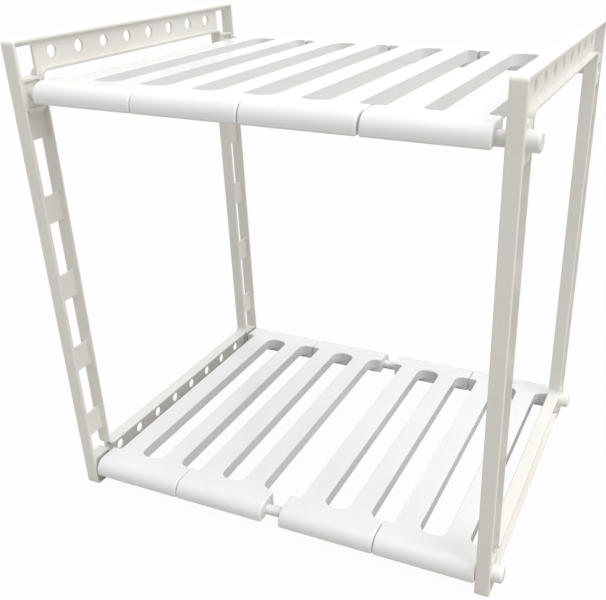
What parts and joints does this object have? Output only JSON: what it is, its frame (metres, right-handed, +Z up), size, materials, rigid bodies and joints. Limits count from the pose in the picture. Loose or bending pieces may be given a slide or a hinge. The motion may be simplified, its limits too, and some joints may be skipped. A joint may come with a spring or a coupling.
{
  "type": "tiered shelf riser",
  "caption": "Free-standing expanding shelf riser: two ladder-like side frames, telescoping poles and slatted panels in two tiers.",
  "frame": {"origin": "on the floor, at the middle of the whole width (round caps included) and depth, with the riser closed", "axes": "+X across the width, the way the right side pulls out; +Y from front to rear; +Z up"},
  "size_m": [0.384, 0.29, 0.385],
  "materials": {
    "frame_plastic": "moulded ivory-white plastic, soft sheen",
    "panel_plastic": "moulded cool-white plastic, glossy",
    "pole_coating": "white-coated thin steel tube",
    "seat_plastic": "moulded ivory-white plastic",
    "cap_plastic": "moulded white plastic, soft sheen"
  },
  "bodies": {
    "fixed_side": {"left_side_frame": "frame_plastic", "lower_front_inner_tube": "pole_coating", "lower_front_left_plug": "cap_plastic", "lower_front_left_seat": "seat_plastic", "lower_rear_inner_tube": "pole_coating", "lower_rear_left_plug": "cap_plastic", "lower_rear_left_seat": "seat_plastic", "upper_front_inner_tube": "pole_coating", "upper_front_left_plug": "cap_plastic", "upper_front_left_seat": "seat_plastic", "upper_rear_inner_tube": "pole_coating", "upper_rear_left_plug": "cap_plastic", "upper_rear_left_seat": "seat_plastic"},
    "pull_out_side": {"lower_front_outer_tube": "pole_coating", "lower_front_right_cap": "cap_plastic", "lower_front_right_seat": "seat_plastic", "lower_rear_outer_tube": "pole_coating", "lower_rear_right_cap": "cap_plastic", "lower_rear_right_seat": "seat_plastic", "right_side_frame": "frame_plastic", "upper_front_outer_tube": "pole_coating", "upper_front_right_cap": "cap_plastic", "upper_front_right_seat": "seat_plastic", "upper_rear_outer_tube": "pole_coating", "upper_rear_right_plug": "cap_plastic", "upper_rear_right_seat": "seat_plastic"},
    "lower_panel_1": {"lower_panel_1": "panel_plastic"},
    "lower_panel_2": {"lower_panel_2": "panel_plastic"},
    "lower_panel_3": {"lower_panel_3": "panel_plastic"},
    "lower_panel_4": {"lower_panel_4": "panel_plastic"},
    "upper_panel_1": {"upper_panel_1": "panel_plastic"},
    "upper_panel_2": {"upper_panel_2": "panel_plastic"},
    "upper_panel_3": {"upper_panel_3": "panel_plastic"},
    "upper_panel_4": {"upper_panel_4": "panel_plastic"}
  },
  "joints": [
    {"name": "expand", "type": "slide", "parent": "fixed_side", "child": "pull_out_side", "axis": [1, 0, 0], "range_m": [0, 0.13]},
    {"name": "lower_panel_1_slide", "type": "slide", "parent": "fixed_side", "child": "lower_panel_1", "axis": [1, 0, 0], "range_m": [-0.0015, 0.0003]},
    {"name": "lower_panel_2_slide", "type": "slide", "parent": "fixed_side", "child": "lower_panel_2", "axis": [1, 0, 0], "range_m": [-0.0003, 0.0159]},
    {"name": "lower_panel_3_slide", "type": "slide", "parent": "pull_out_side", "child": "lower_panel_3", "axis": [1, 0, 0], "range_m": [-0.0159, 0.0003]},
    {"name": "lower_panel_4_slide", "type": "slide", "parent": "pull_out_side", "child": "lower_panel_4", "axis": [1, 0, 0], "range_m": [-0.0003, 0.0001]},
    {"name": "upper_panel_1_slide", "type": "slide", "parent": "fixed_side", "child": "upper_panel_1", "axis": [1, 0, 0], "range_m": [-0.0088, 0.0002]},
    {"name": "upper_panel_2_slide", "type": "slide", "parent": "fixed_side", "child": "upper_panel_2", "axis": [1, 0, 0], "range_m": [-0.0002, 0.0004]},
    {"name": "upper_panel_3_slide", "type": "slide", "parent": "pull_out_side", "child": "upper_panel_3", "axis": [1, 0, 0], "range_m": [-0.0004, 0.0013]},
    {"name": "upper_panel_4_slide", "type": "slide", "parent": "pull_out_side", "child": "upper_panel_4", "axis": [1, 0, 0], "range_m": [-0.0013, 0.0072]}
  ]
}
